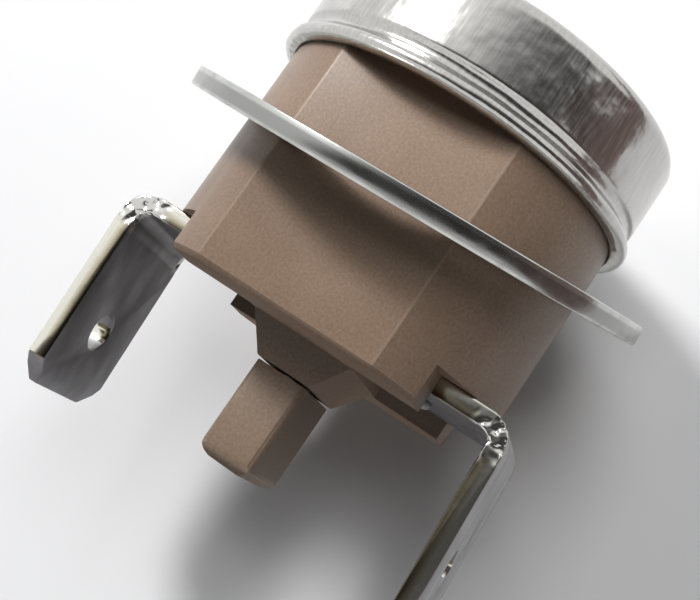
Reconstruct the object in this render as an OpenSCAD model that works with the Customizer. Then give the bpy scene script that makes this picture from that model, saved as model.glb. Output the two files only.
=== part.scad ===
// Manual-reset bimetal thermostat of the half-inch disc kind.
// Every piece is drawn on its own axis, with the sensing face at z = 0 and the
// tabs at the far end, and lay_down() then turns that axis onto +X.

/* [Cap] */
// Outside diameter of the drawn cap
cap_d = 16; // [14.5:0.1:18]
// Height of the cap from its sensing face to its rim
cap_h = 4.5; // [4.2:0.1:6]
// Thickness of the cap's side wall
cap_wall = 0.3; // [0.2:0.05:0.45]
// Thickness of the sensing face
cap_floor = 0.4; // [0.3:0.05:0.6]
// Outside radius of the corner round the sensing face
cap_corner_r = 0.6; // [0.5:0.05:0.9]
// Radius of the bead along the rim
bead_r = 0.3; // [0.2:0.05:0.4]
// Depth of the rolled groove that locks the cap onto the housing
groove_depth = 0.18; // [0.1:0.02:0.24]
// Radius of the rolled groove
groove_r = 0.35; // [0.3:0.05:0.45]

/* [Housing] */
// Height of the base face above the sensing face
base_z = 14.2; // [14:0.1:17]
// Distance across the two flats
flats_w = 13.2; // [12.8:0.1:14.4]
// Wall left between a flat and the switch chamber
flat_wall = 0.9; // [0.7:0.05:1.1]
// Rounding along the edges of the flats
edge_r = 0.3; // [0.15:0.05:0.5]
// Bevel round the base face
base_bevel = 0.2; // [0.1:0.05:0.3]
// Depth of the two tab seats below the base face
seat_depth = 1.6; // [1.4:0.05:2]
// Distance between the two steps that bound the tab seats
seat_span = 11; // [10.4:0.1:12]
// Thickness of the base between a seat and the switch chamber
seat_floor = 1.6; // [1.3:0.1:2]
// Height of the guide boss on the base face
boss_h = 1.45; // [1:0.05:2]
// Width of the boss at its root, along the line of the tabs
boss_root_w = 4.6; // [4.2:0.1:4.6]
// Width of the boss at its end, along the line of the tabs
boss_end_w = 2.5; // [2.4:0.1:3.2]
// Depth of the boss at its root, square to the flats
boss_root_d = 5.4; // [5:0.1:6.4]
// Depth of the boss at its end, square to the flats
boss_end_d = 4.6; // [4.2:0.1:5]

/* [Tabs] */
// Width of a tab
tab_w = 6.3; // [4.8:0.1:6.4]
// Thickness of a tab
tab_t = 0.8; // [0.5:0.1:0.8]
// Gap between the left tab's blade and the side of the housing
left_tab_gap = 0.8; // [0.5:0.05:1.5]
// Gap between the right tab's blade and the side of the housing
right_tab_gap = 0.5; // [0.5:0.05:1.5]
// Height of the tab tips above the sensing face
tab_tip_z = 21.5; // [20:0.1:24]
// Inside radius of a tab's bend
tab_bend_r = 0.5; // [0.3:0.05:0.6]
// Bevel on the corners of a tab's tip
tab_corner = 1; // [0.5:0.1:1.5]
// Length of the lead-in bevel on the faces of a tab's tip
tab_lead = 0.6; // [0.3:0.1:1]
// Thickness left at the very tip, as a share of the tab's thickness
tab_tip_share = 0.5; // [0.3:0.05:0.8]
// Diameter of the latch hole in a tab
tab_hole_d = 1.65; // [1.2:0.05:2]
// Distance from a tab's tip to its latch hole
tab_hole_in = 3.1; // [2.5:0.1:4]
// Inward lean of the left tab's blade, in degrees
left_lean = 3; // [-5:0.5:5]
// Inward lean of the right tab's blade, in degrees
right_lean = -3; // [-5:0.5:5]

/* [Rivets] */
// Diameter of a rivet's shank
rivet_d = 1.6; // [1.2:0.1:1.8]
// Diameter of a rivet's head
rivet_head_d = 2.6; // [2.2:0.1:2.7]
// Height of a rivet's head
rivet_head_h = 0.3; // [0.2:0.05:0.35]
// Diameter of the clinched end
clinch_d = 2.2; // [2:0.1:2.4]
// Height of the clinched end
clinch_h = 0.45; // [0.3:0.05:0.6]

/* [Flange] */
// Outside diameter of the loose flange
flange_d = 20.8; // [19:0.1:26]
// Thickness of the flange sheet
flange_t = 0.8; // [0.5:0.1:1.2]
// Lean of the loose flange, in degrees
flange_tilt = 13; // [0:1:14]
// Play between the leaning flange and the housing
flange_play = 0.12; // [0.1:0.02:0.3]
// Gap between the leaning flange and the cap's rim
flange_lift = 0.05; // [0.04:0.01:0.5]

/* [Reset button] */
// Width of the button, along the line of the tabs
button_w = 2.4; // [2.2:0.1:3]
// Depth of the button, square to the flats
button_d = 4.5; // [4:0.1:5]
// Length of the button's head
button_len = 4.2; // [3:0.05:5]
// Gap between the button and the boss when reset
button_gap = 0.1; // [0.06:0.02:0.4]
// Rounding of the button's outer end
button_round = 0.6; // [0.3:0.05:1]
// Rounding of the button's four long edges
button_edge_r = 0.3; // [0.15:0.05:0.5]
// Diameter of the reset pin
reset_pin_d = 1.4; // [1:0.1:1.6]
// Depth of the reset pin's seat inside the button
reset_pin_seat = 2.2; // [1.5:0.1:2.6]
// Diameter of the collar that keeps the reset pin in
collar_d = 2.8; // [2.4:0.1:3.4]
// Thickness of the collar
collar_t = 0.6; // [0.4:0.05:0.9]

/* [Bimetal works] */
// Thickness of the bimetal disc
disc_t = 0.2; // [0.15:0.01:0.3]
// Depth of the disc's dish
disc_dish = 0.4; // [0.3:0.02:0.5]
// Width of the guide plate's skirt round the disc
skirt_w = 0.5; // [0.4:0.05:0.7]
// Width of the ledge that holds the disc's rim down
disc_ledge = 0.7; // [0.5:0.05:0.9]
// Thickness of the guide plate
guide_t = 1.4; // [1.2:0.1:1.8]
// Diameter of the guide plate's central boss
guide_boss_d = 4.4; // [3.6:0.1:5]
// Height of the guide plate's central boss
guide_boss_h = 2; // [1:0.1:2.6]
// Diameter of the transfer pin
transfer_pin_d = 2; // [1.6:0.1:2.4]
// Travel of the transfer pin when the disc snaps over
trip_travel = 0.5; // [0.3:0.05:0.6]

/* [Contacts] */
// Drop from the chamber's roof to the underside of the contact arm
arm_drop = 2.75; // [2.6:0.05:3.2]
// Thickness of the contact arm
arm_t = 0.25; // [0.15:0.05:0.35]
// Width of the contact arm at its root
arm_w = 2.4; // [2:0.1:2.6]
// Width of the contact plates inside the chamber
plate_w = 2.6; // [2.2:0.1:3]
// Thickness of the contact plates
plate_t = 0.4; // [0.3:0.05:0.5]
// Diameter of the contact buttons
contact_d = 2; // [1.6:0.1:2.2]
// Height of each contact button
contact_h = 0.5; // [0.35:0.05:0.6]
// Distance of the contacts from the axis
contact_y = 3.4; // [3:0.1:3.6]

/* [Hidden] */
$fn = 96;
// Thin clearance between pieces that seat on each other
seat_clear = 0.05;
// Clearance round a pin that slides in its bore
slide_clear = 0.05;
// Clearance between neighbours inside the switch chamber
chamber_clear = 0.1;
// Clearance of the guide plate inside the cap
guide_clear = 0.2;
// Rounding on the ends of the pins
pin_dome = 0.3;
// Reach of a cutter past the face that it opens
cut = 1;

// Radii of the cap, the housing and its flats
cap_r = cap_d / 2;
cap_inner_r = cap_r - cap_wall;
housing_r = cap_inner_r - seat_clear;
flat_x = flats_w / 2;
chamber_r = flat_x - flat_wall;
// Centre of the rolled groove, seen in section
groove_x = cap_r + groove_r - groove_depth;
groove_z = cap_h - 2 * bead_r - groove_r;
// Height at which the flats start, just inside the rim
flats_z = cap_h - 2 * bead_r;

// Stack of the disc and its guide plate inside the cap
disc_z = cap_floor + seat_clear;
disc_rim_z = disc_z + disc_dish + disc_t;
guide_z = disc_rim_z + seat_clear;
guide_r = cap_inner_r - guide_clear;
disc_r = guide_r - skirt_w - chamber_clear;
disc_sphere_r = (pow(disc_r, 2) + pow(disc_dish, 2)) / (2 * disc_dish);
housing_z = guide_z + guide_t + seat_clear;

// Levels in the base and the switch chamber
seat_z = base_z - seat_depth;
roof_z = seat_z - seat_floor;
plate_z = roof_z - plate_t;
arm_z = roof_z - arm_drop;
moving_z = arm_z - contact_h;
fixed_z = moving_z - seat_clear - contact_h;
// Outer face of the contact plates' legs, and the rivets beside them
leg_y = sqrt(pow(chamber_r, 2) - pow(plate_w / 2, 2)) - chamber_clear;
rivet_y = leg_y - plate_t - clinch_d / 2 - chamber_clear;
arm_root_y = leg_y - plate_t - chamber_clear;

// Tab's place outside the housing
tab_in_y = rivet_y - rivet_head_d / 2 - chamber_clear;
tab_bend_z = seat_z + tab_t + tab_bend_r;
tab_leg = tab_tip_z - tab_bend_z;

// Levels of the button and its pin
boss_z = base_z + boss_h;
button_z = boss_z + button_gap;
button_end_z = button_z + button_len;
collar_top_z = roof_z - trip_travel - chamber_clear;

// Hole of the loose flange that lets it lean, and its height when it rests over the bead
flange_hole_r = (housing_r + flange_play + flange_t / 2 * sin(flange_tilt)) / cos(flange_tilt);
flange_rest = cap_r * sin(flange_tilt) + bead_r + flange_lift + flange_t / 2;
flange_z = cap_h - bead_r + flange_rest / cos(flange_tilt);

// Turns a piece's own axis, z, onto +X, so that one flat faces up
module lay_down() {
    rotate([0, 90, 0]) children();
}

// Extrudes a section drawn in radius and height to a width across the tabs' line
module across(width) {
    rotate([90, 0, 90]) linear_extrude(width, center = true) children();
}

// Section of a cup's outside: a square with one rounded corner
module cup_section(r, z, h, corner) {
    translate([0, z + corner]) square([r, h - corner]);
    translate([0, z]) square([r - corner, h]);
    translate([r - corner, z + corner]) circle(corner);
}

// Drawn cap: cup with a beaded rim and a groove rolled in below it
module sensing_cap() {
    color("gainsboro") lay_down() rotate_extrude() {
        difference() {
            union() {
                difference() {
                    cup_section(cap_r, 0, cap_h, cap_corner_r);
                    cup_section(cap_inner_r, cap_floor, cap_h, cap_corner_r - cap_wall);
                }
                translate([cap_r, cap_h - bead_r]) circle(bead_r);
                intersection() {
                    translate([groove_x, groove_z]) circle(groove_r + cap_wall);
                    translate([0, cap_floor]) square([cap_r - cap_wall / 2, cap_h]);
                }
            }
            translate([groove_x, groove_z]) circle(groove_r);
            translate([0, cap_floor + cap_corner_r]) square([cap_inner_r - groove_depth, cap_h]);
            translate([0, cap_h]) square([cap_r + cap_h, cap_h]);
        }
    }
}

// Dished bimetal disc, its middle towards the sensing face
module bimetal_disc() {
    color("silver") lay_down() rotate_extrude() intersection() {
        translate([0, disc_z + disc_sphere_r]) difference() {
            circle(disc_sphere_r, $fn = 360);
            translate([0, disc_t]) circle(disc_sphere_r, $fn = 360);
        }
        translate([0, disc_z - cut]) square([disc_r, disc_dish + disc_t + cut]);
    }
}

// Guide plate: skirted disc that holds the bimetal down and guides the transfer pin
module guide_plate() {
    skirt_z = cap_floor + seat_clear;
    color("saddlebrown") lay_down() difference() {
        union() {
            translate([0, 0, skirt_z]) cylinder(r = guide_r, h = guide_z + guide_t - skirt_z);
            translate([0, 0, guide_z]) cylinder(d = guide_boss_d, h = guide_t + guide_boss_h);
        }
        translate([0, 0, skirt_z - cut]) cylinder(r = guide_r - skirt_w, h = guide_z - skirt_z + cut);
        translate([0, 0, skirt_z - cut])
            cylinder(r = disc_r - disc_ledge, h = guide_z + trip_travel - skirt_z + cut);
        translate([0, 0, skirt_z - cut])
            cylinder(d = transfer_pin_d + 2 * slide_clear, h = guide_z + guide_t + guide_boss_h + cut);
    }
}

// Pin with a domed end: a turned section with a quarter round at the top or the bottom
module domed_pin(d, z0, z1, dome_low, dome_high) {
    dome = min(pin_dome, d / 4);
    rotate_extrude() {
        translate([0, z0 + dome_low * dome]) square([d / 2, z1 - z0 - (dome_low + dome_high) * dome]);
        translate([0, z0]) square([d / 2 - dome, z1 - z0]);
        if (dome_low > 0) translate([d / 2 - dome, z0 + dome]) circle(dome);
        if (dome_high > 0) translate([d / 2 - dome, z1 - dome]) circle(dome);
    }
}

// Ceramic transfer pin between the disc and the contact arm
module transfer_pin() {
    pin_z = disc_z + disc_t + seat_clear;
    color("ivory") lay_down()
        domed_pin(transfer_pin_d, pin_z, arm_z - chamber_clear, 1, 1);
}

// Outline of the housing: round, with two flats and rounded edges between them
module housing_outline() {
    round_y = sqrt(pow(housing_r - edge_r, 2) - pow(flat_x - edge_r, 2));
    tangent_x = (flat_x - edge_r) * housing_r / (housing_r - edge_r);
    intersection() {
        circle(housing_r);
        square([2 * tangent_x, 2 * housing_r], center = true);
    }
    square([flats_w, 2 * round_y], center = true);
    for (sx = [-1, 1], sy = [-1, 1])
        translate([sx * (flat_x - edge_r), sy * round_y]) circle(edge_r);
}

// Moulded blank of the housing: round collar for the cap, flats above it, bevelled base
module housing_blank() {
    intersection() {
        union() {
            translate([0, 0, housing_z]) cylinder(r = housing_r, h = flats_z - housing_z);
            translate([0, 0, flats_z]) linear_extrude(base_z - flats_z) housing_outline();
        }
        rotate_extrude() polygon([
            [0, housing_z], [housing_r + cut, housing_z], [housing_r + cut, base_z - base_bevel - cut],
            [housing_r - base_bevel, base_z], [0, base_z]]);
        rotate([90, 0, 0]) linear_extrude(4 * housing_r, center = true) polygon([
            [-2 * housing_r, housing_z], [2 * housing_r, housing_z],
            [flat_x + cut, base_z - base_bevel - cut], [flat_x - base_bevel, base_z],
            [base_bevel - flat_x, base_z], [-flat_x - cut, base_z - base_bevel - cut]]);
    }
}

// Tapered guide boss for the reset pin
module guide_boss() {
    intersection() {
        across(boss_root_d) polygon([
            [-boss_root_w / 2, base_z - cut], [boss_root_w / 2, base_z - cut],
            [boss_root_w / 2, base_z], [boss_end_w / 2, boss_z],
            [-boss_end_w / 2, boss_z], [-boss_root_w / 2, base_z]]);
        rotate([90, 0, 0]) linear_extrude(boss_root_w, center = true) polygon([
            [-boss_root_d / 2, base_z - cut], [boss_root_d / 2, base_z - cut],
            [boss_root_d / 2, base_z], [boss_end_d / 2, boss_z],
            [-boss_end_d / 2, boss_z], [-boss_root_d / 2, base_z]]);
    }
}

// Room for one tab: the step across the rim, and the slot that takes the tab's root
module tab_seat() {
    slot_w = tab_w + 2 * chamber_clear;
    translate([-housing_r - cut, seat_span / 2, seat_z])
        cube([2 * (housing_r + cut), housing_r, seat_depth + cut]);
    translate([-slot_w / 2, tab_in_y - chamber_clear, seat_z])
        cube([slot_w, housing_r, seat_depth + cut]);
}

// Moulded housing: switch chamber open to the cap, base with tab seats and guide boss
module housing() {
    color("rosybrown") lay_down() difference() {
        union() {
            difference() {
                housing_blank();
                for (side = [0, 1]) mirror([0, side, 0]) tab_seat();
            }
            guide_boss();
        }
        translate([0, 0, housing_z - cut]) cylinder(r = chamber_r, h = roof_z - housing_z + cut);
        translate([0, 0, roof_z - cut])
            cylinder(d = reset_pin_d + 2 * slide_clear, h = boss_z - roof_z + 2 * cut);
        for (side = [-1, 1]) translate([0, side * rivet_y, roof_z - cut])
            cylinder(d = rivet_d + 2 * seat_clear, h = seat_floor + 2 * cut);
        rotate_extrude() translate([groove_x, groove_z]) circle(groove_r + cap_wall + seat_clear);
    }
}

// Contact plate: flange riveted under the roof, leg along the wall, foot turned inwards
module contact_plate(foot_z, foot_y) {
    difference() {
        across(plate_w) {
            translate([tab_in_y, plate_z]) square([leg_y - tab_in_y, plate_t]);
            translate([leg_y - plate_t, foot_z]) square([plate_t, roof_z - foot_z]);
            translate([foot_y, foot_z]) square([leg_y - foot_y, plate_t]);
        }
        translate([0, rivet_y, plate_z - cut]) cylinder(d = rivet_d + 2 * seat_clear, h = plate_t + 2 * cut);
    }
}

// Brass plate of the left tab: its foot holds the fixed contact under the arm
module fixed_contact_plate() {
    foot_in = contact_y - contact_d / 2 - chamber_clear;
    color("goldenrod") lay_down() mirror([0, 1, 0]) contact_plate(fixed_z - plate_t, foot_in);
}

// Silver contact on the fixed plate's foot
module fixed_contact() {
    color("silver") lay_down() translate([0, -contact_y, fixed_z]) cylinder(d = contact_d, h = contact_h);
}

// Brass plate of the right tab: its foot carries the root of the contact arm
module arm_support() {
    foot_in = arm_root_y - rivet_d;
    color("goldenrod") lay_down() contact_plate(arm_z - plate_t, foot_in);
}

// Springy contact arm, welded on its support and rounded over the contact
module contact_arm() {
    color("peru") lay_down() translate([0, 0, arm_z]) linear_extrude(arm_t) {
        translate([-arm_w / 2, -contact_y]) square([arm_w, contact_y + arm_root_y]);
        translate([0, -contact_y]) circle(d = max(arm_w, contact_d));
    }
}

// Silver contact under the arm's free end
module moving_contact() {
    color("silver") lay_down() translate([0, -contact_y, moving_z]) cylinder(d = contact_d, h = contact_h);
}

// Blade of a tab, drawn from its bend to its bevelled tip
module tab_blade() {
    tip_bevel = tab_t * (1 - tab_tip_share) / 2;
    difference() {
        intersection() {
            translate([0, 0, -cut]) across(2 * tab_w) polygon([
                [0, cut], [tab_t, cut], [tab_t, tab_leg + cut - tab_lead],
                [tab_t - tip_bevel, tab_leg + cut], [tip_bevel, tab_leg + cut],
                [0, tab_leg + cut - tab_lead]]);
            rotate([90, 0, 0]) linear_extrude(4 * tab_t, center = true) polygon([
                [-tab_w / 2, 0], [tab_w / 2, 0], [tab_w / 2, tab_leg - tab_corner],
                [tab_w / 2 - tab_corner, tab_leg], [tab_corner - tab_w / 2, tab_leg],
                [-tab_w / 2, tab_leg - tab_corner]]);
        }
        translate([0, -cut, tab_leg - tab_hole_in])
            rotate([-90, 0, 0]) cylinder(d = tab_hole_d, h = tab_t + 2 * cut);
    }
}

// Tab terminal: root in its seat, bend outside the housing, blade along the axis
module terminal(lean, gap) {
    bend_y = housing_r + gap - tab_bend_r;
    difference() {
        across(tab_w) {
            translate([tab_in_y, seat_z]) square([bend_y - tab_in_y, tab_t]);
            translate([bend_y, tab_bend_z]) difference() {
                circle(tab_bend_r + tab_t);
                circle(tab_bend_r);
                translate([-2 * tab_leg, -tab_leg]) square([2 * tab_leg, 2 * tab_leg]);
                rotate(lean) translate([-tab_leg, 0]) square([2 * tab_leg, tab_leg]);
            }
        }
        translate([0, rivet_y, seat_z - cut]) cylinder(d = rivet_d + 2 * seat_clear, h = tab_t + 2 * cut);
    }
    translate([0, bend_y, tab_bend_z]) rotate([lean, 0, 0]) translate([0, tab_bend_r, 0]) tab_blade();
}

module left_terminal() {
    color("lightgray") lay_down() mirror([0, 1, 0]) terminal(left_lean, left_tab_gap);
}

module right_terminal() {
    color("lightgray") lay_down() terminal(right_lean, right_tab_gap);
}

// Rivet through a tab, the base and a contact plate
module rivet() {
    translate([0, rivet_y, plate_z]) {
        cylinder(d = rivet_d, h = seat_z + tab_t - plate_z);
        translate([0, 0, seat_z + tab_t - plate_z]) cylinder(d = rivet_head_d, h = rivet_head_h);
        translate([0, 0, -clinch_h]) cylinder(d = clinch_d, h = clinch_h);
    }
}

module left_rivet() {
    color("lightgray") lay_down() mirror([0, 1, 0]) rivet();
}

module right_rivet() {
    color("lightgray") lay_down() rivet();
}

// Turned reset pin: domed end over the arm, collar under the roof, top pressed into the button
module reset_pin() {
    color("silver") lay_down() {
        domed_pin(reset_pin_d, arm_z + arm_t + chamber_clear, button_z + reset_pin_seat, 1, 0);
        translate([0, 0, collar_top_z - collar_t]) cylinder(d = collar_d, h = collar_t);
    }
}

// Section of the button's head: a block with two rounded outer corners
module button_section(width) {
    translate([-width / 2, button_z]) square([width, button_len - button_round]);
    translate([button_round - width / 2, button_z]) square([width - 2 * button_round, button_len]);
    for (side = [-1, 1])
        translate([side * (width / 2 - button_round), button_end_z - button_round]) circle(button_round);
}

// Outline of the button seen along the axis, with rounded edges
module button_outline() {
    half_d = button_d / 2 - button_edge_r;
    half_w = button_w / 2 - button_edge_r;
    square([button_d, 2 * half_w], center = true);
    square([2 * half_d, button_w], center = true);
    for (sx = [-1, 1], sy = [-1, 1]) translate([sx * half_d, sy * half_w]) circle(button_edge_r);
}

// Moulded reset button, pressed onto the reset pin
module reset_button() {
    color("rosybrown") lay_down() difference() {
        intersection() {
            across(button_d) button_section(button_w);
            rotate([90, 0, 0]) linear_extrude(button_w, center = true) button_section(button_d);
            translate([0, 0, button_z]) linear_extrude(button_len) button_outline();
        }
        translate([0, 0, button_z - cut])
            cylinder(d = reset_pin_d + seat_clear, h = reset_pin_seat + seat_clear + cut);
    }
}

// Loose sheet flange round the housing, leaning on the cap's rim
module mounting_flange() {
    color("lightgray") lay_down() translate([0, 0, flange_z]) rotate([0, flange_tilt, 0]) difference() {
        cylinder(d = flange_d, h = flange_t, center = true);
        cylinder(r = flange_hole_r, h = flange_t + 2 * cut, center = true);
    }
}

sensing_cap();
bimetal_disc();
guide_plate();
transfer_pin();
housing();
fixed_contact_plate();
fixed_contact();
arm_support();
contact_arm();
moving_contact();
left_terminal();
right_terminal();
left_rivet();
right_rivet();
reset_pin();
reset_button();
mounting_flange();
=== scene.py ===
from math import asin, cos, degrees, pi, radians, sin

import bmesh
import bpy
from mathutils import Matrix, Vector, noise


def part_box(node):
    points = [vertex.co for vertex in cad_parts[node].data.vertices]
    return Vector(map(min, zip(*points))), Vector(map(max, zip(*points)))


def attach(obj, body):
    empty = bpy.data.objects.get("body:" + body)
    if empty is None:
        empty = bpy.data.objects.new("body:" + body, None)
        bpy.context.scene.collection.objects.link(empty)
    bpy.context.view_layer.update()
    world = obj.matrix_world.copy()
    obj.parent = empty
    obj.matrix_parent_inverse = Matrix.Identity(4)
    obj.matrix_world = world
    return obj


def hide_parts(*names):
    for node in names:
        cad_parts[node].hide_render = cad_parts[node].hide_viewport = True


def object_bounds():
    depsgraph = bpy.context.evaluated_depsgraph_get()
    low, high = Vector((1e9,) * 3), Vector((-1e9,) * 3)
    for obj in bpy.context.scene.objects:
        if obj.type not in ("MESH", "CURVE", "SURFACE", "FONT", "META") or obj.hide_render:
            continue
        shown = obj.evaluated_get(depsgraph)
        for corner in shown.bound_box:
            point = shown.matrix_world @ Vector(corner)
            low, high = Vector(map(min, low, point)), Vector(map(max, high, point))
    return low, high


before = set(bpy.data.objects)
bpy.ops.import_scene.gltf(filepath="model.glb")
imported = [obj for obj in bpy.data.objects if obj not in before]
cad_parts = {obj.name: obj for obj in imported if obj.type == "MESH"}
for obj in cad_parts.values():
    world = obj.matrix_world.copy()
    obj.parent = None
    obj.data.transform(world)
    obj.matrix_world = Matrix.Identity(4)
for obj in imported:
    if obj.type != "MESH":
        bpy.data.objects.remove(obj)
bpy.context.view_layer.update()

# Housing
# The body is one compression moulding of pinkish brown phenolic filled with wood
# flour. Its edges leave the mould slightly rounded and rub pale in handling, and
# the filler shows as fine flecks under a satin skin. The rounded edges of the flats
# are painted pale too, partly as wear and partly as a painted highlight.
MM = 0.001
HOUSING_EDGE_R = 0.07 * MM
HOUSING_SHARP_FROM = radians(28)
EDGE_SEGMENTS = 2
EDGE_ROUNDNESS = 0.5
PHENOLIC_DARK = (0.24, 0.161, 0.112, 1)
PHENOLIC_MID = (0.272, 0.187, 0.133, 1)
PHENOLIC_PALE = (0.305, 0.217, 0.158, 1)
PHENOLIC_WEAR_AND_HIGHLIGHT = (0.44, 0.34, 0.265, 1)
PHENOLIC_FLECK = 0.12 * MM
PHENOLIC_CLOUD = 2.6 * MM
PHENOLIC_CLOUD_SHADE = 0.9
PHENOLIC_SKIN_DEPTH = 0.0025 * MM
PHENOLIC_GLOSS = 0.3
PHENOLIC_ROUGH_LOW = 0.3
PHENOLIC_ROUGH_HIGH = 0.4
BASE_ROUGH = 0.9
BASE_MATT_FROM = 0.5
BASE_MATT_TO = 0.9
BEVEL_WEAR = 0.25
FLAT_EDGE_WEAR_AND_HIGHLIGHT = 0.3
FLAT_EDGE_FROM = 0.9
FLAT_EDGE_TO = 0.998
FLAT_EDGE_LEVEL = 0.05
PATTERN_LOW = 0.3
PATTERN_MID = 0.5
PATTERN_HIGH = 0.7
WELD_DISTANCE = 0.0005 * MM
FLAT_WITHIN = radians(0.5)
SMOOTH_BELOW = radians(35)


def fitted(name, mesh, node, body):
    """Puts a finished mesh in place of its CAD node."""
    piece = bpy.data.objects.new(name, mesh)
    bpy.context.scene.collection.objects.link(piece)
    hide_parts(node)
    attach(piece, body)
    return piece


def softened(node, body, finish, edge_r, sharp_from):
    """Stands for a CAD node with a copy whose sharp edges are rounded and marked as worn."""
    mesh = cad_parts[node].data.copy()
    solid = bmesh.new()
    solid.from_mesh(mesh)
    bmesh.ops.remove_doubles(solid, verts=solid.verts, dist=WELD_DISTANCE)
    bmesh.ops.dissolve_limit(solid, angle_limit=FLAT_WITHIN, verts=solid.verts, edges=solid.edges)
    wear_and_highlight = solid.faces.layers.float.new("wear_and_highlight")
    sharp = [e for e in solid.edges if len(e.link_faces) == 2 and e.calc_face_angle() > sharp_from]
    rounded = bmesh.ops.bevel(solid, geom=sharp, offset=edge_r, segments=EDGE_SEGMENTS,
                              profile=EDGE_ROUNDNESS, affect="EDGES", clamp_overlap=True)
    for face in rounded["faces"]:
        face[wear_and_highlight] = BEVEL_WEAR
    bmesh.ops.triangulate(solid, faces=[f for f in solid.faces if len(f.verts) > 4])
    for face in solid.faces:
        face.smooth = True
    solid.to_mesh(mesh)
    solid.free()
    mesh.set_sharp_from_angle(angle=SMOOTH_BELOW)
    mesh.materials.clear()
    mesh.materials.append(finish)
    return fitted(node + "_worn", mesh, node, body)


def new_finish(name, metallic):
    """Node material with its shader, and Object coordinates for its patterns."""
    finish = bpy.data.materials.new(name)
    finish.use_nodes = True
    tree = finish.node_tree
    shader = tree.nodes["Principled BSDF"]
    shader.inputs["Metallic"].default_value = metallic
    return finish, tree, shader, tree.nodes.new("ShaderNodeTexCoord").outputs["Object"]


def mottle(tree, coords, grain, stretch=(1, 1, 1), detail=3):
    """Noise whose features are about grain wide, drawn out where stretch is below 1."""
    mapping = tree.nodes.new("ShaderNodeMapping")
    mapping.inputs["Scale"].default_value = stretch
    cloud = tree.nodes.new("ShaderNodeTexNoise")
    cloud.inputs["Scale"].default_value = 1 / grain
    cloud.inputs["Detail"].default_value = detail
    tree.links.new(coords, mapping.inputs["Vector"])
    tree.links.new(mapping.outputs["Vector"], cloud.inputs["Vector"])
    return cloud.outputs["Fac"]


def shades(tree, value, *stops):
    """Colours along a value, from (position, colour) stops."""
    ramp = tree.nodes.new("ShaderNodeValToRGB")
    points = ramp.color_ramp.elements
    while len(points) < len(stops):
        points.new(0.5)
    for point, (position, colour) in zip(points, stops):
        point.position = position
        point.color = colour
    tree.links.new(value, ramp.inputs["Fac"])
    return ramp.outputs["Color"]


def varied(tree, pattern, low, high):
    """Colours from low to high over the middle range of a noise pattern."""
    return shades(tree, pattern, (PATTERN_LOW, low), (PATTERN_HIGH, high))


def grey(level):
    """A grey, which also serves as a plain value where a socket takes a number."""
    return (level, level, level, 1)


def blended(tree, share, under, over, mode="MIX"):
    """One colour over another, by a share that is a number or a socket."""
    mix = tree.nodes.new("ShaderNodeMix")
    mix.data_type = "RGBA"
    mix.blend_type = mode
    for socket, value in (("Factor_Float", share), ("A_Color", under), ("B_Color", over)):
        target = next(s for s in mix.inputs if s.identifier == socket)
        if isinstance(value, bpy.types.NodeSocket):
            tree.links.new(value, target)
        else:
            target.default_value = value
    return next(s for s in mix.outputs if s.identifier == "Result_Color")


def relief(tree, shader, *layers):
    """Raises the surface by height patterns, each of a real depth."""
    normal = shader.inputs["Normal"]
    for height, depth in layers:
        bump = tree.nodes.new("ShaderNodeBump")
        bump.inputs["Distance"].default_value = depth
        tree.links.new(height, bump.inputs["Height"])
        tree.links.new(bump.outputs["Normal"], normal)
        normal = bump.inputs["Normal"]


def marked(tree, name):
    """A mark that was set on the mesh's faces or points, as a value."""
    mark = tree.nodes.new("ShaderNodeAttribute")
    mark.attribute_name = name
    return mark.outputs["Fac"]


def share_along(tree, vector, axis, low, high):
    """How far a vector reaches along an axis of the part, from 0 at low to 1 at high."""
    reach = tree.nodes.new("ShaderNodeVectorMath")
    reach.operation = "DOT_PRODUCT"
    reach.inputs[1].default_value = axis
    tree.links.new(vector, reach.inputs[0])
    share = tree.nodes.new("ShaderNodeMapRange")
    share.inputs["From Min"].default_value = low
    share.inputs["From Max"].default_value = high
    tree.links.new(reach.outputs["Value"], share.inputs["Value"])
    return share.outputs["Result"]


def facing(tree, axis, low, high):
    """How far the surface faces along an axis of the part, from 0 at low to 1 at high."""
    normal = tree.nodes.new("ShaderNodeTexCoord").outputs["Normal"]
    return share_along(tree, normal, axis, low, high)


def phenolic(name, dark, mid, pale):
    """Flecked satin moulding, matt on the faces towards the tabs, pale on worn edges and on the flats'
    edges, where the paleness is partly a painted highlight.
    """
    finish, tree, shader, coords = new_finish(name, 0)
    flecks = mottle(tree, coords, PHENOLIC_FLECK)
    clouds = mottle(tree, coords, PHENOLIC_CLOUD)
    filler = shades(tree, flecks, (PATTERN_LOW, dark), (PATTERN_MID, mid), (PATTERN_HIGH, pale))
    flow = varied(tree, clouds, grey(PHENOLIC_CLOUD_SHADE), grey(1))
    body = blended(tree, 1.0, filler, flow, "MULTIPLY")
    colour = blended(tree, marked(tree, "wear_and_highlight"), body, PHENOLIC_WEAR_AND_HIGHLIGHT)
    tree.links.new(colour, shader.inputs["Base Color"])
    on_base = facing(tree, (1, 0, 0), BASE_MATT_FROM, BASE_MATT_TO)
    satin = varied(tree, clouds, grey(PHENOLIC_ROUGH_LOW), grey(PHENOLIC_ROUGH_HIGH))
    tree.links.new(blended(tree, on_base, satin, grey(BASE_ROUGH)), shader.inputs["Roughness"])
    shader.inputs["Specular IOR Level"].default_value = PHENOLIC_GLOSS
    relief(tree, shader, (flecks, PHENOLIC_SKIN_DEPTH))
    return finish


body_phenolic = phenolic("moulded_phenolic", PHENOLIC_DARK, PHENOLIC_MID, PHENOLIC_PALE)
housing = softened("housing", "thermostat_body", body_phenolic,
                   HOUSING_EDGE_R, HOUSING_SHARP_FROM)
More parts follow.
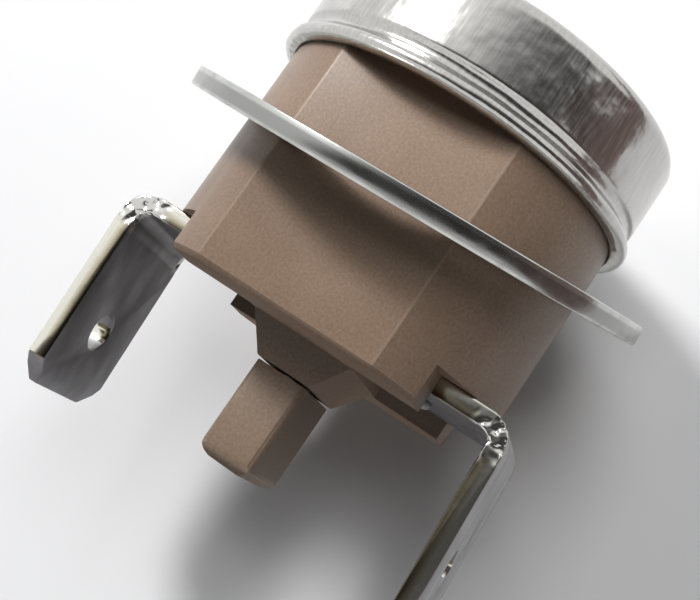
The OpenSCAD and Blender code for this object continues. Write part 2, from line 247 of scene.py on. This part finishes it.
# The rounded edges of the flats get part of the pale edge colour: partly wear, partly a painted highlight.
housing_wear_and_highlight = housing.data.attributes["wear_and_highlight"]
for face in housing.data.polygons:
    if FLAT_EDGE_FROM < abs(face.normal.z) < FLAT_EDGE_TO and abs(face.normal.x) < FLAT_EDGE_LEVEL:
        housing_wear_and_highlight.data[face.index].value = FLAT_EDGE_WEAR_AND_HIGHLIGHT

# Sensing cap
# A thin cup drawn from bright aluminium, its rim curled into a bead and a groove
# rolled in below it to lock it on the housing. Drawing leaves fine lines along the
# axis, and the soft wall is full of shallow dents and scuffs.
CAP_R = 8 * MM
CAP_H = 4.5 * MM
CAP_WALL = 0.3 * MM
CAP_FLOOR = 0.4 * MM
CAP_CORNER_R = 0.6 * MM
BEAD_R = 0.3 * MM
GROOVE_R = 0.35 * MM
GROOVE_DEPTH = 0.18 * MM
ARC_POINTS = 13
CAP_STEPS = 300
CAP_TURNS = 181
CAP_DENT_WIDTH = 2.4 * MM
CAP_DENT_DEPTH = 0.035 * MM
CAP_DENT_SEED = 3.0
DENT_DETAIL = 1.0
DENT_FROM = 0.42
DENT_FULL = 0.75
CAP_METAL = (0.57, 0.562, 0.545, 1)
CAP_DULL = (0.5, 0.49, 0.47, 1)
CAP_ROUGH_LOW = 0.15
CAP_ROUGH_HIGH = 0.24
CAP_LINE = 0.12 * MM
CAP_DRAWN_STRETCH = (0.12, 1, 1)
CAP_ROLLED_STRETCH = (1, 0.04, 1)
LINE_LOW = 0.35
LINE_HIGH = 0.65
CAP_PUCKER = 1.4 * MM
CAP_PUCKER_DEPTH = 0.06 * MM
CAP_SCUFF = 0.3 * MM
CAP_SCUFF_DEPTH = 0.004 * MM
CAP_END_FROM = 0.85
CAP_END_TO = 0.98


def arc(x, r, radius, start, end):
    """Points of a profile's round stretch about (x, r), angles in degrees from +X to +R."""
    angles = [radians(start + (end - start) * i / (ARC_POINTS - 1)) for i in range(ARC_POINTS)]
    return [(x + radius * cos(angle), r + radius * sin(angle)) for angle in angles]


def turning_tree():
    """Geometry nodes that turn a profile round the X axis and press shallow dents into its wall."""
    tree = bpy.data.node_groups.new("turned_profile", "GeometryNodeTree")
    sockets = (("Profile", "Geometry"), ("Steps", "Int"), ("Turns", "Int"), ("Dent share", "Float"),
               ("Dent scale", "Float"), ("Seed", "Float"), ("Finish", "Material"))
    for name, kind in sockets:
        tree.interface.new_socket(name, in_out="INPUT", socket_type="NodeSocket" + kind)
    tree.interface.new_socket("Mesh", in_out="OUTPUT", socket_type="NodeSocketGeometry")
    given = tree.nodes.new("NodeGroupInput").outputs

    def node(kind, *inputs, **settings):
        """A node's outputs, from its (socket, value or source) inputs."""
        step = tree.nodes.new(kind)
        for setting, value in settings.items():
            setattr(step, setting, value)
        for socket, value in inputs:
            if isinstance(value, bpy.types.NodeSocket):
                tree.links.new(value, step.inputs[socket])
            else:
                step.inputs[socket].default_value = value
        return step.outputs

    def worked_out(operation, first, second=0.0):
        """A sum of two values, or of one."""
        return node("ShaderNodeMath", (0, first), (1, second), operation=operation)["Value"]

    sheet = node("GeometryNodeMeshGrid", ("Size X", 1.0), ("Size Y", 1.0),
                 ("Vertices X", given["Turns"]), ("Vertices Y", given["Steps"]))["Mesh"]
    spot = node("ShaderNodeSeparateXYZ", (0, node("GeometryNodeInputPosition")["Position"]))
    angle = worked_out("MULTIPLY", spot["X"], 2 * pi)
    along = worked_out("ADD", spot["Y"], 0.5)
    curve = node("GeometryNodeMeshToCurve", ("Mesh", given["Profile"]))["Curve"]
    sample = node("GeometryNodeSampleCurve", ("Curves", curve), ("Factor", along), mode="FACTOR")
    profile = node("ShaderNodeSeparateXYZ", (0, sample["Position"]))

    def swung(radius):
        """The grid's points swung round the axis at a radius."""
        across = worked_out("MULTIPLY", radius, worked_out("COSINE", angle))
        up = worked_out("MULTIPLY", radius, worked_out("SINE", angle))
        return node("ShaderNodeCombineXYZ", ("X", profile["X"]), ("Y", across), ("Z", up))["Vector"]

    cloud = node("ShaderNodeTexNoise", ("Vector", swung(profile["Y"])), ("W", given["Seed"]),
                 ("Scale", given["Dent scale"]), ("Detail", DENT_DETAIL), noise_dimensions="4D")["Fac"]
    hollow = node("ShaderNodeMapRange", ("Value", cloud), ("From Min", DENT_FROM), ("From Max", DENT_FULL),
                  interpolation_type="SMOOTHSTEP")["Result"]
    pressed = worked_out("SUBTRACT", 1.0, worked_out("MULTIPLY", hollow, given["Dent share"]))
    dented = swung(worked_out("MULTIPLY", profile["Y"], pressed))
    mesh = node("GeometryNodeSetPosition", ("Geometry", sheet), ("Position", dented))["Geometry"]
    mesh = node("GeometryNodeMergeByDistance", ("Geometry", mesh), ("Distance", WELD_DISTANCE))["Geometry"]
    mesh = node("GeometryNodeSetShadeSmooth", ("Geometry", mesh))["Geometry"]
    mesh = node("GeometryNodeRealizeInstances", ("Geometry", mesh))["Geometry"]
    mesh = node("GeometryNodeSetMaterial", ("Geometry", mesh), ("Material", given["Finish"]))["Geometry"]
    tree.links.new(mesh, tree.nodes.new("NodeGroupOutput").inputs["Mesh"])
    return tree


turning = turning_tree()


def turned(name, profile, finish, steps, turns, dent_depth=0, dent_width=1, seed=0):
    """A plain mesh of a profile turned round the X axis."""
    outline = bpy.data.meshes.new(name + "_profile")
    outline.from_pydata([(x, r, 0) for x, r in profile], [(i, i + 1) for i in range(len(profile) - 1)], [])
    blank = bpy.data.objects.new(name + "_profile", outline)
    bpy.context.scene.collection.objects.link(blank)
    lathe = blank.modifiers.new("turning", "NODES")
    lathe.node_group = turning
    reach = max(r for x, r in profile)
    settings = {"Steps": steps, "Turns": turns, "Dent share": dent_depth / reach,
                "Dent scale": 1 / dent_width, "Seed": float(seed), "Finish": finish}
    for socket in turning.interface.items_tree:
        if socket.name in settings:
            lathe[socket.identifier] = settings[socket.name]
    finished = blank.evaluated_get(bpy.context.evaluated_depsgraph_get())
    mesh = bpy.data.meshes.new_from_object(finished)
    # The grid's own empty slot comes before the finish
    mesh.materials.pop(index=0)
    blank.modifiers.remove(lathe)
    bpy.data.objects.remove(blank)
    return mesh


cap_metal, tree, shader, coords = new_finish("bright_drawn_aluminium", 1)
on_end = facing(tree, (-1, 0, 0), CAP_END_FROM, CAP_END_TO)
drawn = mottle(tree, coords, CAP_LINE, CAP_DRAWN_STRETCH)
rolled = mottle(tree, coords, CAP_LINE, CAP_ROLLED_STRETCH)
lines = blended(tree, on_end, drawn, rolled)
puckers = mottle(tree, coords, CAP_PUCKER, detail=2)
scuffs = mottle(tree, coords, CAP_SCUFF)
bright = shades(tree, lines, (LINE_LOW, CAP_DULL), (LINE_HIGH, CAP_METAL))
tree.links.new(bright, shader.inputs["Base Color"])
tree.links.new(varied(tree, lines, grey(CAP_ROUGH_LOW), grey(CAP_ROUGH_HIGH)), shader.inputs["Roughness"])
relief(tree, shader, (puckers, CAP_PUCKER_DEPTH), (scuffs, CAP_SCUFF_DEPTH))

groove_x = CAP_H - 2 * BEAD_R - GROOVE_R
groove_axis_r = CAP_R + GROOVE_R - GROOVE_DEPTH
groove_lip = degrees(asin((groove_axis_r - CAP_R) / GROOVE_R))
swell_r = GROOVE_R + CAP_WALL
swell_lip = degrees(asin((groove_axis_r - CAP_R + CAP_WALL) / swell_r))
inner_corner_r = CAP_CORNER_R - CAP_WALL
cap_profile = [(0, 0)]
cap_profile += arc(CAP_CORNER_R, CAP_R - CAP_CORNER_R, CAP_CORNER_R, 180, 90)
cap_profile += arc(groove_x, groove_axis_r, GROOVE_R, 180 + groove_lip, 360 - groove_lip)
cap_profile += arc(CAP_H - BEAD_R, CAP_R, BEAD_R, 180, 0)
cap_profile += [(CAP_H, CAP_R - CAP_WALL)]
cap_profile += arc(groove_x, groove_axis_r, swell_r, 360 - swell_lip, 180 + swell_lip)
cap_profile += arc(CAP_FLOOR + inner_corner_r, CAP_R - CAP_CORNER_R, inner_corner_r, 90, 180)
cap_profile += [(CAP_FLOOR, 0)]
cap_mesh = turned("dented_cap", cap_profile, cap_metal, CAP_STEPS, CAP_TURNS,
                  CAP_DENT_DEPTH, CAP_DENT_WIDTH, CAP_DENT_SEED)
fitted("dented_cap", cap_mesh, "sensing_cap", "thermostat_body")

# Bimetal works
# Inside the cap lie the dished bimetal disc, the phenolic guide plate that holds it
# down and the ceramic pin that carries its snap to the contact arm. None is fixed:
# the cap's floor and the housing hold the stack together.
BIMETAL_STRAW = (0.55, 0.5, 0.42, 1)
BIMETAL_GREY = (0.62, 0.6, 0.57, 1)
CERAMIC_SHADE = (0.78, 0.75, 0.68, 1)
CERAMIC_WHITE = (0.88, 0.86, 0.8, 1)
CERAMIC_ROUGH_LOW = 0.5
CERAMIC_ROUGH_HIGH = 0.7
ROLLED_LINE = 0.1 * MM
ROLLED_STRETCH = (1, 0.05, 1)
ROLLED_DEPTH = 0.002 * MM


def rolled_metal(name, dark, bright, rough_low, rough_high):
    """Strip metal with fine lines along the direction it was rolled in."""
    finish, tree, shader, coords = new_finish(name, 1)
    lines = mottle(tree, coords, ROLLED_LINE, ROLLED_STRETCH)
    tree.links.new(shades(tree, lines, (LINE_LOW, dark), (LINE_HIGH, bright)), shader.inputs["Base Color"])
    tree.links.new(varied(tree, lines, grey(rough_low), grey(rough_high)), shader.inputs["Roughness"])
    relief(tree, shader, (lines, ROLLED_DEPTH))
    return finish


def dress(node, finish):
    """Gives a CAD node that keeps its own shape its finish."""
    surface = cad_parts[node].data
    surface.materials.clear()
    surface.materials.append(finish)


bimetal = rolled_metal("bimetal", BIMETAL_STRAW, BIMETAL_GREY, rough_low=0.3, rough_high=0.45)
dress("bimetal_disc", bimetal)
dress("guide_plate", body_phenolic)
ceramic, tree, shader, coords = new_finish("ceramic", 0)
grain = mottle(tree, coords, PHENOLIC_FLECK)
tree.links.new(varied(tree, grain, CERAMIC_SHADE, CERAMIC_WHITE), shader.inputs["Base Color"])
matt = varied(tree, grain, grey(CERAMIC_ROUGH_LOW), grey(CERAMIC_ROUGH_HIGH))
tree.links.new(matt, shader.inputs["Roughness"])
relief(tree, shader, (grain, PHENOLIC_SKIN_DEPTH))
dress("transfer_pin", ceramic)

# Contacts
# Two stamped brass plates are riveted under the chamber's roof. One holds the fixed
# silver contact, the other the welded root of the bronze arm, which carries the
# moving silver contact over it.
BRASS_DARK = (0.56, 0.42, 0.2, 1)
BRASS_BRIGHT = (0.75, 0.6, 0.32, 1)
BRONZE_DARK = (0.52, 0.33, 0.2, 1)
BRONZE_BRIGHT = (0.7, 0.48, 0.32, 1)
SILVER_DULL = (0.7, 0.69, 0.66, 1)
SILVER_BRIGHT = (0.86, 0.85, 0.83, 1)
contact_brass = rolled_metal("contact_brass", BRASS_DARK, BRASS_BRIGHT, rough_low=0.28, rough_high=0.42)
contact_silver = rolled_metal("contact_silver", SILVER_DULL, SILVER_BRIGHT, rough_low=0.25, rough_high=0.4)
spring_bronze = rolled_metal("spring_bronze", BRONZE_DARK, BRONZE_BRIGHT, rough_low=0.25, rough_high=0.4)
dress("fixed_contact_plate", contact_brass)
dress("arm_support", contact_brass)
dress("fixed_contact", contact_silver)
dress("moving_contact", contact_silver)
dress("contact_arm", spring_bronze)

# Tab terminals and their rivets
# The two push-on tabs are stamped from tinned brass strip and bent up outside the
# housing. The tin is stained grey with painted reflections, dark on the faces towards
# the body and pale on the faces away from it, and crumpled beside the edges of the
# bends, where it is painted brighter, partly as a painted glint. The sheared edges
# show bare brass, and one tinned rivet holds each tab in its seat.
TAB_EDGE_R = 0.07 * MM
TAB_SHARP_FROM = radians(25)
TIN_DARK_REFLECTION = (0.155, 0.15, 0.155, 1)
TIN_DARK_REFLECTION_CLEAR = (0.21, 0.205, 0.21, 1)
TIN_PALE_REFLECTION = (0.36, 0.36, 0.365, 1)
TIN_PALE_REFLECTION_CLEAR = (0.5, 0.5, 0.505, 1)
TIN_STAIN = 0.9 * MM
TIN_STAIN_STRETCH = (0.4, 1, 1)
TIN_STAIN_ROUGH = 0.52
TIN_CLEAR_ROUGH = 0.42
TIN_RIPPLE = 0.5 * MM
TIN_RIPPLE_DEPTH = 0.006 * MM
SHEARED_FROM = 0.9
SHEARED_BRIGHT = (0.78, 0.76, 0.68, 1)
SHEARED_BRIGHT_TO = 0.35
SHEARED_BRASS = (0.5, 0.45, 0.32, 1)
SHEARED_BRASS_AT = 0.65
SHEARED_TORN = (0.12, 0.1, 0.07, 1)
SHEARED_TORN_FROM = 0.95
SHEARED_ROUGH = 0.16
BEND_TIN_AND_GLINT = (0.62, 0.61, 0.58, 1)
BEND_ROUGH = 0.14
BEND_AT = Vector((13.3, 8.4, 0)) * MM
BEND_REACH = 1.3 * MM
BEND_INSET = 0.5 * MM
BEND_FADE = 2
BEND_GRID = 0.08 * MM
BEND_SNAP = 0.006 * MM
BEND_WRINKLE = 0.3 * MM
BEND_WRINKLE_DEPTH = 0.13 * MM
RIVET_FOOT_R = 1.1 * MM
RIVET_FOOT_H = 0.45 * MM
RIVET_SHANK_R = 0.8 * MM
RIVET_HEAD_R = 1.3 * MM
RIVET_HEAD_H = 0.3 * MM
RIVET_ROUND = 0.2 * MM
RIVET_STEPS = 70
RIVET_TURNS = 49


def tinned(name):
    """Stained tin with painted reflections, dark on the side towards the body and pale away from it, with
    bare edges, and crumpled bends painted brighter, partly as a painted glint.
    """
    finish, tree, shader, coords = new_finish(name, 1)
    stains = mottle(tree, coords, TIN_STAIN, TIN_STAIN_STRETCH)
    inner = marked(tree, "inner")
    # Painted reflections: the tin is dark on the faces towards the body and pale on the faces away from it.
    dark_reflection_tin = varied(tree, stains, TIN_DARK_REFLECTION, TIN_DARK_REFLECTION_CLEAR)
    spread_by_pattern = varied(tree, stains, TIN_PALE_REFLECTION, TIN_PALE_REFLECTION_CLEAR)
    tin = blended(tree, inner, spread_by_pattern, dark_reflection_tin)
    edge = shades(tree, inner, (SHEARED_BRIGHT_TO, SHEARED_BRIGHT), (SHEARED_BRASS_AT, SHEARED_BRASS),
                  (SHEARED_TORN_FROM, SHEARED_TORN))
    sheared = marked(tree, "sheared")
    bent = marked(tree, "bent")
    strip = blended(tree, sheared, tin, edge)
    # The bends are painted brighter, partly as a painted glint on the crumpled tin.
    tree.links.new(blended(tree, bent, strip, BEND_TIN_AND_GLINT), shader.inputs["Base Color"])
    tin_rough = varied(tree, stains, grey(TIN_STAIN_ROUGH), grey(TIN_CLEAR_ROUGH))
    strip_rough = blended(tree, sheared, tin_rough, grey(SHEARED_ROUGH))
    tree.links.new(blended(tree, bent, strip_rough, grey(BEND_ROUGH)), shader.inputs["Roughness"])
    ripples = mottle(tree, coords, TIN_RIPPLE, detail=2)
    relief(tree, shader, (ripples, TIN_RIPPLE_DEPTH))
    return finish


def crumpled(piece, bend):
    """Presses the crumpled tin of a bend into the mesh beside its sheared edges, inwards only."""
    sheet = bmesh.new()
    sheet.from_mesh(piece.data)
    half_width = max(point.co.z for point in sheet.verts)

    def away(point):
        """A point's distance from the bend, seen along it."""
        return (point.co - bend).xy.length

    def beside(point):
        """How far a point belongs to the crumpled tin, from 0 to 1."""
        inset = half_width - abs(point.co.z)
        near_bend = BEND_FADE * (1 - away(point) / BEND_REACH)
        near_edge = BEND_FADE * (1 - inset / BEND_INSET)
        return max(0, min(1, near_bend, near_edge))

    cells = int(BEND_REACH / BEND_GRID)
    cuts = [(axis, bend[axis] + i * BEND_GRID) for axis in (0, 1) for i in range(-cells, cells + 1)]
    insets = range(1, int(BEND_INSET / BEND_GRID) + 1)
    cuts += [(2, end * (half_width - i * BEND_GRID)) for end in (-1, 1) for i in insets]
    for axis, level in cuts:
        across = Vector([float(i == axis) for i in range(3)])
        near = [face for face in sheet.faces if any(away(point) < BEND_REACH for point in face.verts)]
        parts = {part for face in near for part in (face, *face.edges, *face.verts)}
        bmesh.ops.bisect_plane(sheet, geom=list(parts), dist=BEND_SNAP,
                               plane_co=across * level, plane_no=across)
    bmesh.ops.triangulate(sheet, faces=[f for f in sheet.faces if len(f.verts) > 4])
    sheet.normal_update()
    bent = sheet.verts.layers.float.new("bent")
    for point in sheet.verts:
        point[bent] = beside(point)
        hollow = max(0, noise.noise(point.co / BEND_WRINKLE))
        point.co -= point.normal * BEND_WRINKLE_DEPTH * hollow * point[bent]
    sheet.to_mesh(piece.data)
    sheet.free()


tab_tin = tinned("tinned_brass")
rivet_low, rivet_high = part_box("left_rivet")
foot_top = rivet_low.x + RIVET_FOOT_H
head_foot = rivet_high.x - RIVET_HEAD_H
rivet_profile = [(rivet_low.x, 0)]
rivet_profile += arc(rivet_low.x + RIVET_ROUND, RIVET_FOOT_R - RIVET_ROUND, RIVET_ROUND, 180, 90)
rivet_profile += [(foot_top, RIVET_FOOT_R), (foot_top, RIVET_SHANK_R)]
rivet_profile += [(head_foot, RIVET_SHANK_R), (head_foot, RIVET_HEAD_R)]
rivet_profile += arc(rivet_high.x - RIVET_ROUND, RIVET_HEAD_R - RIVET_ROUND, RIVET_ROUND, 90, 0)
rivet_profile += [(rivet_high.x, 0)]
for side, inwards in (("left", Vector((1, 1, 0))), ("right", Vector((1, -1, 0)))):
    tab = softened(side + "_terminal", "thermostat_body", tab_tin,
                   TAB_EDGE_R, TAB_SHARP_FROM)
    sheared = tab.data.attributes.new("sheared", "FLOAT", "FACE")
    for face in tab.data.polygons:
        sheared.data[face.index].value = float(abs(face.normal.z) > SHEARED_FROM)
    inner = tab.data.attributes.new("inner", "FLOAT", "POINT")
    for point in tab.data.vertices:
        inner.data[point.index].value = float(point.normal.dot(inwards) > 0)
    crumpled(tab, BEND_AT * Vector((1, -inwards.y, 1)))
    rivet = turned(side + "_rivet", rivet_profile, tab_tin, RIVET_STEPS, RIVET_TURNS)
    low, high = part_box(side + "_rivet")
    rivet.transform(Matrix.Translation((0, (low.y + high.y) / 2, 0)))
    fitted("domed_" + side + "_rivet", rivet, side + "_rivet", "thermostat_body")

# Reset pin and button
# A turned steel pin slides in the guide boss and is pressed into a moulded button of
# the same phenolic as the housing, a little yellower, with rounded edges.
PIN_DARK = (0.42, 0.42, 0.42, 1)
PIN_BRIGHT = (0.62, 0.62, 0.62, 1)
BUTTON_DARK = (0.22, 0.155, 0.109, 1)
BUTTON_MID = (0.252, 0.181, 0.13, 1)
BUTTON_PALE = (0.284, 0.207, 0.153, 1)
BUTTON_EDGE_R = 0.05 * MM
turned_steel = rolled_metal("turned_steel", PIN_DARK, PIN_BRIGHT, rough_low=0.25, rough_high=0.4)
dress("reset_pin", turned_steel)
button_phenolic = phenolic("button_phenolic", BUTTON_DARK, BUTTON_MID, BUTTON_PALE)
softened("reset_button", "button", button_phenolic, BUTTON_EDGE_R, HOUSING_SHARP_FROM)

# Mounting flange
# A loose ring blanked from plated steel sheet, free to lean on the cap's bead. Its
# rim keeps the zones of a blanked edge: a bright burnished band on the cap's side, a
# darker torn band across the middle and a bright burr on the tabs' side.
FLANGE_EDGE_R = 0.06 * MM
FLANGE_SHARP_FROM = radians(30)
FLANGE_AT = Vector((6.817, 0, 0)) * MM
FLANGE_AXIS = Vector((0.97437, 0, -0.22495))
FLANGE_HALF_T = 0.4 * MM
FLANGE_SHEET = (0.58, 0.59, 0.56, 1)
FLANGE_DULL = (0.46, 0.465, 0.445, 1)
FLANGE_TORN = (0.34, 0.34, 0.33, 1)
FLANGE_BRIGHT_FROM = 0.6
FLANGE_DULL_ROUGH = 0.28
FLANGE_BRIGHT_ROUGH = 0.16
FLANGE_SCUFF = 0.5 * MM
FLANGE_SCUFF_STRETCH = (1, 0.3, 1)
FLANGE_SCUFF_DEPTH = 0.004 * MM
BURNISHED_TO = 0.2
TORN_FROM = 0.3
TORN_TO = 0.8
BURR_FROM = 0.92
flange_sheet, tree, shader, coords = new_finish("plated_sheet", 1)
scuffs = mottle(tree, coords, FLANGE_SCUFF, FLANGE_SCUFF_STRETCH)
plating = shades(tree, scuffs, (PATTERN_LOW, FLANGE_DULL), (FLANGE_BRIGHT_FROM, FLANGE_SHEET))
middle = FLANGE_AT.dot(FLANGE_AXIS)
through = share_along(tree, coords, FLANGE_AXIS, middle - FLANGE_HALF_T, middle + FLANGE_HALF_T)
torn = shades(tree, through, (BURNISHED_TO, grey(0)), (TORN_FROM, grey(1)), (TORN_TO, grey(1)),
              (BURR_FROM, grey(0)))
tree.links.new(blended(tree, torn, plating, FLANGE_TORN), shader.inputs["Base Color"])
spread_by_pattern = varied(tree, scuffs, grey(FLANGE_DULL_ROUGH), grey(FLANGE_BRIGHT_ROUGH))
tree.links.new(spread_by_pattern, shader.inputs["Roughness"])
relief(tree, shader, (scuffs, FLANGE_SCUFF_DEPTH))
softened("mounting_flange", "flange", flange_sheet, FLANGE_EDGE_R, FLANGE_SHARP_FROM)

# Floor
# A plain pale table at the level of the part's lowest edge. It fades into the white
# background well away from the part.
FLOOR_SIZE = 1.2
FLOOR_PALE = (0.92, 0.92, 0.93, 1)
FLOOR_SHADE = (0.89, 0.89, 0.9, 1)
FLOOR_GRAIN = 30 * MM
FLOOR_ROUGH = 0.8
FLOOR_FADE_FROM = 0.06
FLOOR_FADE_TO = 0.22


def laid_over(tree, share, under, over):
    """One shader over another, by a share."""
    mix = tree.nodes.new("ShaderNodeMixShader")
    tree.links.new(share, mix.inputs["Fac"])
    tree.links.new(under, mix.inputs[1])
    tree.links.new(over, mix.inputs[2])
    return mix.outputs["Shader"]


floor_mesh = bpy.data.meshes.new("floor")
half = FLOOR_SIZE / 2
floor_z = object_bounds()[0].z
corners = [(-half, -half, floor_z), (half, -half, floor_z), (half, half, floor_z), (-half, half, floor_z)]
floor_mesh.from_pydata(corners, [], [(0, 1, 2, 3)])
floor = bpy.data.objects.new("floor", floor_mesh)
bpy.context.scene.collection.objects.link(floor)
paper, tree, shader, coords = new_finish("pale_table", 0)
cloudy = mottle(tree, coords, FLOOR_GRAIN)
tree.links.new(varied(tree, cloudy, FLOOR_SHADE, FLOOR_PALE), shader.inputs["Base Color"])
shader.inputs["Roughness"].default_value = FLOOR_ROUGH
from_part = tree.nodes.new("ShaderNodeVectorMath")
from_part.operation = "LENGTH"
tree.links.new(coords, from_part.inputs[0])
fade = tree.nodes.new("ShaderNodeMapRange")
fade.interpolation_type = "SMOOTHSTEP"
fade.inputs["From Min"].default_value = FLOOR_FADE_FROM
fade.inputs["From Max"].default_value = FLOOR_FADE_TO
tree.links.new(from_part.outputs["Value"], fade.inputs["Value"])
haze = tree.nodes.new("ShaderNodeEmission")
table_top = laid_over(tree, fade.outputs["Result"], shader.outputs["BSDF"], haze.outputs["Emission"])
tree.links.new(table_top, tree.nodes["Material Output"].inputs["Surface"])
floor_mesh.materials.append(paper)

# Studio light
# A small key and a wider soft light, both from the cap's side, with a weak even fill.
# The camera and the metal's mirror images see a white room instead of the fill.
ROOM_WHITE = (1, 1, 1, 1)
FILL_COLOUR = (0.94, 0.96, 1, 1)
FILL_STRENGTH = 0.05
LAMP_AIM = Vector((0.009, 0, 0))
KEY_FROM = Vector((-0.095, -0.154, 0.172))
KEY_SIZE = 0.055
KEY_POWER = 0.52
SOFT_FROM = Vector((-0.1, 0.02, 0.23))
SOFT_SIZE = 0.16
SOFT_POWER = 0.34


def either(tree, first, second):
    """1 where either of two values of 0 or 1 is 1."""
    larger = tree.nodes.new("ShaderNodeMath")
    larger.operation = "MAXIMUM"
    tree.links.new(first, larger.inputs[0])
    tree.links.new(second, larger.inputs[1])
    return larger.outputs["Value"]


def lamp(name, place, size, power):
    """A square lamp aimed at the middle of the part."""
    light = bpy.data.objects.new(name, bpy.data.lights.new(name, "AREA"))
    bpy.context.scene.collection.objects.link(light)
    light.data.size = size
    light.data.energy = power
    light.location = place
    light.rotation_euler = (LAMP_AIM - place).to_track_quat("-Z", "Y").to_euler()
    return light


world = bpy.data.worlds.new("studio")
bpy.context.scene.world = world
world.use_nodes = True
tree = world.node_tree
ray = tree.nodes.new("ShaderNodeLightPath").outputs
mirrored = either(tree, ray["Is Glossy Ray"], ray["Is Transmission Ray"])
seen = either(tree, ray["Is Camera Ray"], mirrored)
fill = tree.nodes["Background"]
fill.inputs["Color"].default_value = FILL_COLOUR
fill.inputs["Strength"].default_value = FILL_STRENGTH
white = tree.nodes.new("ShaderNodeBackground")
white.inputs["Color"].default_value = ROOM_WHITE
room = laid_over(tree, seen, fill.outputs["Background"], white.outputs["Background"])
tree.links.new(room, tree.nodes["World Output"].inputs["Surface"])
lamp("key", KEY_FROM, KEY_SIZE, KEY_POWER)
soft = lamp("soft", SOFT_FROM, SOFT_SIZE, SOFT_POWER)
soft.visible_glossy = False

# Dark card
# A bent card beside and above the part, seen only in mirror images, that paints
# reflections by its own glow. It gives the cap's wall and the tabs their dark sides as
# painted dark reflections, tinted warm low down, and fades to white along its slanted edge.
CARD_FROM_X = -0.1
CARD_TO_X = 0.065
CARD_COLUMNS = 8
CARD_PIVOT_X = -0.045
CARD_WARM = (1, 0.74, 0.69, 1)
CARD_BENDS = (
    {"y": -0.025, "slant": 0.85, "z": 0.13, "glow": 1, "warmth": 0},
    {"y": 0.025, "slant": 1.3, "z": 0.13, "glow": 0.38, "warmth": 0},
    {"y": 0.083, "slant": 1.8, "z": 0.13, "glow": 0.06, "warmth": 0},
    {"y": 0.2, "slant": 0, "z": 0.13, "glow": 0.06, "warmth": 0.5},
    {"y": 0.2, "slant": 0, "z": 0.08, "glow": 0.11, "warmth": 1},
    {"y": 0.2, "slant": 0, "z": 0.02, "glow": 0.15, "warmth": 1},
    {"y": 0.045, "slant": 0, "z": -0.008, "glow": 0.2, "warmth": 1},
)
card_points = []
card_marks = []
for column in range(CARD_COLUMNS):
    x = CARD_FROM_X + (CARD_TO_X - CARD_FROM_X) * column / (CARD_COLUMNS - 1)
    for bend in CARD_BENDS:
        card_points.append((x, bend["y"] - bend["slant"] * (x - CARD_PIVOT_X), bend["z"]))
        card_marks.append(bend)
rows = len(CARD_BENDS)
card_faces = [(i, i + 1, i + rows + 1, i + rows) for i in range(rows * (CARD_COLUMNS - 1)) if (i + 1) % rows]
card_mesh = bpy.data.meshes.new("dark_card")
card_mesh.from_pydata(card_points, [], card_faces)
for mark in ("glow", "warmth"):
    values = card_mesh.attributes.new(mark, "FLOAT", "POINT")
    for point, bend in enumerate(card_marks):
        values.data[point].value = bend[mark]
card = bpy.data.objects.new("dark_card", card_mesh)
bpy.context.scene.collection.objects.link(card)
card.visible_camera = False
card.visible_diffuse = False
card.visible_shadow = False
reflection_paint, tree = new_finish("painted_reflection_card", 0)[:2]
# The card's glow is a painted reflection: emission seen only by glossy rays, tinted warm where marked.
reflection_glow = tree.nodes.new("ShaderNodeEmission")
tree.links.new(marked(tree, "glow"), reflection_glow.inputs["Strength"])
tree.links.new(blended(tree, marked(tree, "warmth"), grey(1), CARD_WARM), reflection_glow.inputs["Color"])
tree.links.new(reflection_glow.outputs["Emission"], tree.nodes["Material Output"].inputs["Surface"])
card_mesh.materials.append(reflection_paint)

# Camera
# The photograph's view, from above on the tabs' side, with a camera fitted to the
# part's known sizes.
CAMERA_AT = Vector((18.04, 14.37, 48.41)) * MM
CAMERA_RIGHT = Vector((-0.562, 0.810, -0.167))
CAMERA_UP = Vector((-0.817, -0.513, 0.262))
CAMERA_BACK = Vector((0.126, 0.283, 0.951))
CAMERA_LENS = 64.26
CAMERA_SENSOR = 36
CAMERA_NEAR = 1 * MM
CAMERA_FAR = 10
camera = bpy.data.objects.new("camera", bpy.data.cameras.new("camera"))
bpy.context.scene.collection.objects.link(camera)
camera.data.lens = CAMERA_LENS
camera.data.sensor_width = CAMERA_SENSOR
camera.data.sensor_fit = "HORIZONTAL"
camera.data.clip_start = CAMERA_NEAR
camera.data.clip_end = CAMERA_FAR
turn = Matrix((CAMERA_RIGHT, CAMERA_UP, CAMERA_BACK)).transposed()
camera.matrix_world = Matrix.Translation(CAMERA_AT) @ turn.to_4x4()
bpy.context.scene.camera = camera
bpy.context.scene.view_settings.view_transform = "Standard"
